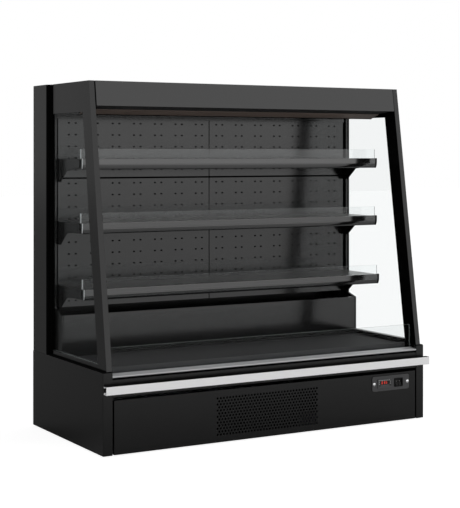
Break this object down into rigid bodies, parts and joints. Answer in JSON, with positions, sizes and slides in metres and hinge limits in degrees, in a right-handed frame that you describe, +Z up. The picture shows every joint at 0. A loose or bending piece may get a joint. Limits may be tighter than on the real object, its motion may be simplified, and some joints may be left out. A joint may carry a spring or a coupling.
{
  "type": "open multideck display fridge",
  "caption": "Open-front display fridge with slanted glazed sides, lift-off shelves, a low front glass, a pull-off service panel and a canopy that blows an air curtain.",
  "frame": {"origin": "on the floor, under the middle of the object's outline", "axes": "+X to the right seen from the open front, +Y to the rear, +Z up"},
  "size_m": [1.5506, 0.7524, 1.456],
  "materials": {
    "charcoal_paint": "semi-gloss charcoal coating",
    "foam_filled_wall": "charcoal skin over rigid foam",
    "black_plastic": "matt black",
    "black_rubber": "matt black",
    "black_paint": "matt black coating",
    "rail_paint": "satin grey coating",
    "satin_aluminium": "satin anodised",
    "bright_aluminium": "bright brushed",
    "clear_glass": "clear, polished edges",
    "clear_acrylic": "clear, polished",
    "galvanised_sheet": "zinc coated",
    "fin_aluminium": "bare fins",
    "coil_metal": "bare copper and fins"
  },
  "bodies": {
    "cabinet": {"base_end_left": "charcoal_paint", "base_end_right": "charcoal_paint", "return_grille": "charcoal_paint", "plenum_cover": "charcoal_paint", "back_panel_lower_left": "charcoal_paint", "back_panel_lower_right": "charcoal_paint", "back_panel_upper_left": "charcoal_paint", "back_panel_upper_right": "charcoal_paint", "fascia": "charcoal_paint", "canopy_liner": "charcoal_paint", "insulated_tub": "foam_filled_wall", "rear_wall": "foam_filled_wall", "roof_panel": "foam_filled_wall", "side_frame_left": "foam_filled_wall", "side_frame_right": "foam_filled_wall", "levelling_foot_front_left": "black_plastic", "levelling_foot_front_right": "black_plastic", "levelling_foot_rear_left": "black_plastic", "levelling_foot_rear_right": "black_plastic", "discharge_grille": "black_plastic", "side_gasket_left": "black_rubber", "side_gasket_right": "black_rubber", "bumper_bar": "black_paint", "upright_left": "black_paint", "upright_right": "black_paint", "compressor": "black_paint", "nose_profile": "satin_aluminium", "bumper_rail": "bright_aluminium", "front_glass": "clear_glass", "side_glass_left": "clear_glass", "side_glass_right": "clear_glass", "chassis_tray": "galvanised_sheet", "evaporator": "fin_aluminium", "condenser": "coil_metal"},
    "service_panel": {"front_panel": "charcoal_paint", "control_plate": "charcoal_paint", "thermostat": "black_plastic"},
    "key_left": {"thermostat_key_left": "black_plastic"},
    "key_right": {"thermostat_key_right": "black_plastic"},
    "light_rocker": {"rocker_light": "black_plastic"},
    "power_rocker": {"rocker_power": "black_plastic"},
    "deck": {"deck_panel": "charcoal_paint"},
    "shelf_1": {"shelf_1_tray": "charcoal_paint", "shelf_1_rail": "rail_paint", "shelf_1_fence": "clear_acrylic", "shelf_1_bracket_left": "black_paint", "shelf_1_bracket_right": "black_paint"},
    "shelf_2": {"shelf_2_tray": "charcoal_paint", "shelf_2_rail": "rail_paint", "shelf_2_fence": "clear_acrylic", "shelf_2_bracket_left": "black_paint", "shelf_2_bracket_right": "black_paint"},
    "shelf_3": {"shelf_3_tray": "charcoal_paint", "shelf_3_rail": "rail_paint", "shelf_3_fence": "clear_acrylic", "shelf_3_bracket_left": "black_paint", "shelf_3_bracket_right": "black_paint"},
    "condenser_rotor": {"condenser_fan": "black_plastic"},
    "evaporator_rotor_left": {"evaporator_fan_left": "black_plastic"},
    "evaporator_rotor_right": {"evaporator_fan_right": "black_plastic"}
  },
  "joints": [
    {"name": "service_panel_pull", "type": "slide", "parent": "cabinet", "child": "service_panel", "axis": [0, -1, 0], "range_m": [0, 0.08]},
    {"name": "key_left_press", "type": "slide", "parent": "service_panel", "child": "key_left", "axis": [0, 1, 0], "range_m": [0, 0.0008], "stiffness_N_per_m": 600, "springref_m": -0.0005},
    {"name": "key_right_press", "type": "slide", "parent": "service_panel", "child": "key_right", "axis": [0, 1, 0], "range_m": [0, 0.0008], "stiffness_N_per_m": 600, "springref_m": -0.0005},
    {"name": "light_rocker_tilt", "type": "hinge", "parent": "service_panel", "child": "light_rocker", "pos_m": [0.6202, -0.3437, 0.174], "axis": [1, 0, 0], "range_deg": [0, 16]},
    {"name": "power_rocker_tilt", "type": "hinge", "parent": "service_panel", "child": "power_rocker", "pos_m": [0.6362, -0.3437, 0.174], "axis": [1, 0, 0], "range_deg": [0, 16]},
    {"name": "deck_lift", "type": "slide", "parent": "cabinet", "child": "deck", "axis": [0, 0, 1], "range_m": [0, 0.08]},
    {"name": "shelf_1_pull", "type": "slide", "parent": "cabinet", "child": "shelf_1", "axis": [0, -1, 0], "range_m": [0, 0.1]},
    {"name": "shelf_2_pull", "type": "slide", "parent": "cabinet", "child": "shelf_2", "axis": [0, -1, 0], "range_m": [0, 0.1]},
    {"name": "shelf_3_pull", "type": "slide", "parent": "cabinet", "child": "shelf_3", "axis": [0, -1, 0], "range_m": [0, 0.1]},
    {"name": "condenser_fan_spin", "type": "hinge", "parent": "cabinet", "child": "condenser_rotor", "pos_m": [-0.03, -0.2148, 0.1003], "axis": [0, 1, 0], "continuous": true},
    {"name": "evaporator_fan_left_spin", "type": "hinge", "parent": "cabinet", "child": "evaporator_rotor_left", "pos_m": [-0.33, 0.1509, 0.3533], "axis": [0, 1, 0], "continuous": true},
    {"name": "evaporator_fan_right_spin", "type": "hinge", "parent": "cabinet", "child": "evaporator_rotor_right", "pos_m": [0.33, 0.1509, 0.3533], "axis": [0, 1, 0], "continuous": true}
  ]
}
